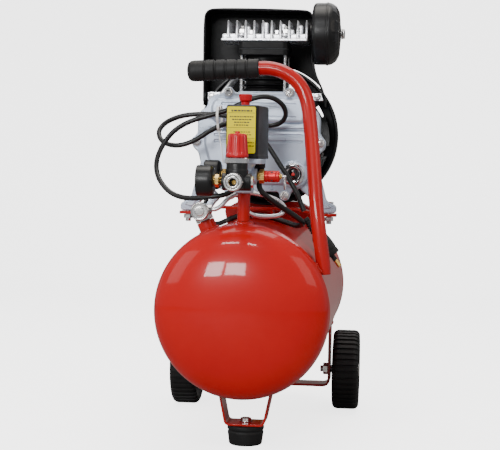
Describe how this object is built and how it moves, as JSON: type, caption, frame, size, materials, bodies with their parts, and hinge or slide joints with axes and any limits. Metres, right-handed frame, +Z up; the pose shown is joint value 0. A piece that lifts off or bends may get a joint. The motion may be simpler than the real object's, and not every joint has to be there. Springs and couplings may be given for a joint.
{
  "type": "wheeled air compressor",
  "caption": "Oil-lubricated direct-drive air compressor on a horizontal tank with wheels, a rubber front foot, a hook handle, a pressure switch and a regulator.",
  "frame": {"origin": "centre of the flat bottom face of the front foot, on the floor", "axes": "+X to the right seen from the front, +Y back along the tank, +Z up"},
  "size_m": [0.296, 0.5964, 0.627],
  "materials": {
    "aluminium": "as cast",
    "black_paint": "semi-gloss",
    "black_plastic": "fine texture",
    "brass": "machined",
    "cast": "silver paint on a casting",
    "cord": "smooth PVC sheath",
    "glass": "dark clear lens",
    "red_paint": "gloss",
    "red_plastic": "moulded",
    "steel": "machined",
    "tyre": "matt",
    "zinc": "zinc plated"
  },
  "bodies": {
    "frame": {"air_tank": "red_paint", "front_foot_bracket": "red_paint", "front_foot": "tyre", "front_foot_bolt": "zinc", "axle_strap": "red_paint", "axle_bolt_left": "zinc", "axle_bolt_right": "zinc", "handle_tube": "red_paint", "handle_grip": "tyre", "front_saddle": "red_paint", "rear_saddle": "red_paint", "crankcase": "cast", "crankcase_cover": "cast", "cover_bolt_1": "zinc", "cover_bolt_2": "zinc", "cover_bolt_3": "zinc", "cover_bolt_4": "zinc", "sight_glass": "glass", "cylinder": "black_paint", "valve_plate": "black_paint", "cylinder_head": "aluminium", "head_stud_1": "zinc", "head_stud_2": "zinc", "head_stud_3": "zinc", "head_stud_4": "zinc", "filter_base": "black_plastic", "filter_cover": "black_plastic", "hood": "black_paint", "hood_bar": "aluminium", "fan_shroud": "black_plastic", "motor_housing": "black_paint", "capacitor_box": "black_plastic", "switch_post": "red_paint", "switch_base": "cast", "switch_cover": "black_plastic", "regulator_body": "black_plastic", "coupler_body": "zinc", "outlet_gauge": "black_plastic", "tank_gauge": "black_plastic", "safety_valve": "brass", "check_valve": "zinc", "discharge_tube": "aluminium", "unloader_tube": "aluminium", "power_plug": "tyre", "power_cord": "cord", "motor_lead": "cord"},
    "wheel_left": {"wheel_left": "tyre"},
    "wheel_right": {"wheel_right": "tyre"},
    "button": {"switch_button": "red_plastic"},
    "knob": {"regulator_knob": "red_plastic"},
    "sleeve": {"coupler_sleeve": "zinc"},
    "wing_nut": {"filter_wing_nut": "zinc"},
    "shaft": {"motor_shaft": "steel", "cooling_fan": "black_plastic"},
    "piston_rod": {"piston": "aluminium", "connecting_rod": "aluminium"},
    "outlet_needle": {"outlet_gauge_needle": "black_plastic"},
    "tank_needle": {"tank_gauge_needle": "black_plastic"},
    "pull_ring": {"safety_ring": "steel"},
    "drain": {"drain_cock": "brass"}
  },
  "joints": [
    {"name": "wheel_left_spin", "type": "hinge", "parent": "frame", "child": "wheel_left", "pos_m": [-0.127, 0.287, 0.0624], "axis": [1, 0, 0], "continuous": true},
    {"name": "wheel_right_spin", "type": "hinge", "parent": "frame", "child": "wheel_right", "pos_m": [0.127, 0.287, 0.0624], "axis": [1, 0, 0], "continuous": true},
    {"name": "button_press", "type": "slide", "parent": "frame", "child": "button", "axis": [0, 0, 1], "range_m": [-0.004, 0]},
    {"name": "pressure_set", "type": "hinge", "parent": "frame", "child": "knob", "pos_m": [-0.0025, -0.131, 0.4], "axis": [0, 0, 1], "range_deg": [-720, 720]},
    {"name": "sleeve_pull", "type": "slide", "parent": "frame", "child": "sleeve", "axis": [0, 1, 0], "range_m": [0, 0.005], "stiffness_N_per_m": 300},
    {"name": "wing_nut_turn", "type": "hinge", "parent": "frame", "child": "wing_nut", "pos_m": [0.115, 0.18, 0.581], "axis": [1, 0, 0], "continuous": true},
    {"name": "shaft_spin", "type": "hinge", "parent": "frame", "child": "shaft", "pos_m": [0, 0.24, 0.425], "axis": [0, 1, 0], "continuous": true},
    {"name": "piston_stroke", "type": "slide", "parent": "frame", "child": "piston_rod", "axis": [0, 0, 1], "range_m": [-0.044, 0]},
    {"name": "outlet_needle_turn", "type": "hinge", "parent": "frame", "child": "outlet_needle", "pos_m": [-0.054, -0.131, 0.364], "axis": [1, 0, 0], "range_deg": [-270, 0]},
    {"name": "tank_needle_turn", "type": "hinge", "parent": "frame", "child": "tank_needle", "pos_m": [-0.054, -0.062, 0.371], "axis": [1, 0, 0], "range_deg": [-270, 0]},
    {"name": "ring_pull", "type": "slide", "parent": "frame", "child": "pull_ring", "axis": [1, 0, 0], "range_m": [0, 0.003], "stiffness_N_per_m": 400},
    {"name": "drain_turn", "type": "hinge", "parent": "frame", "child": "drain", "pos_m": [0, 0.15, 0.05], "axis": [0, 0, 1], "range_deg": [0, 720]}
  ]
}
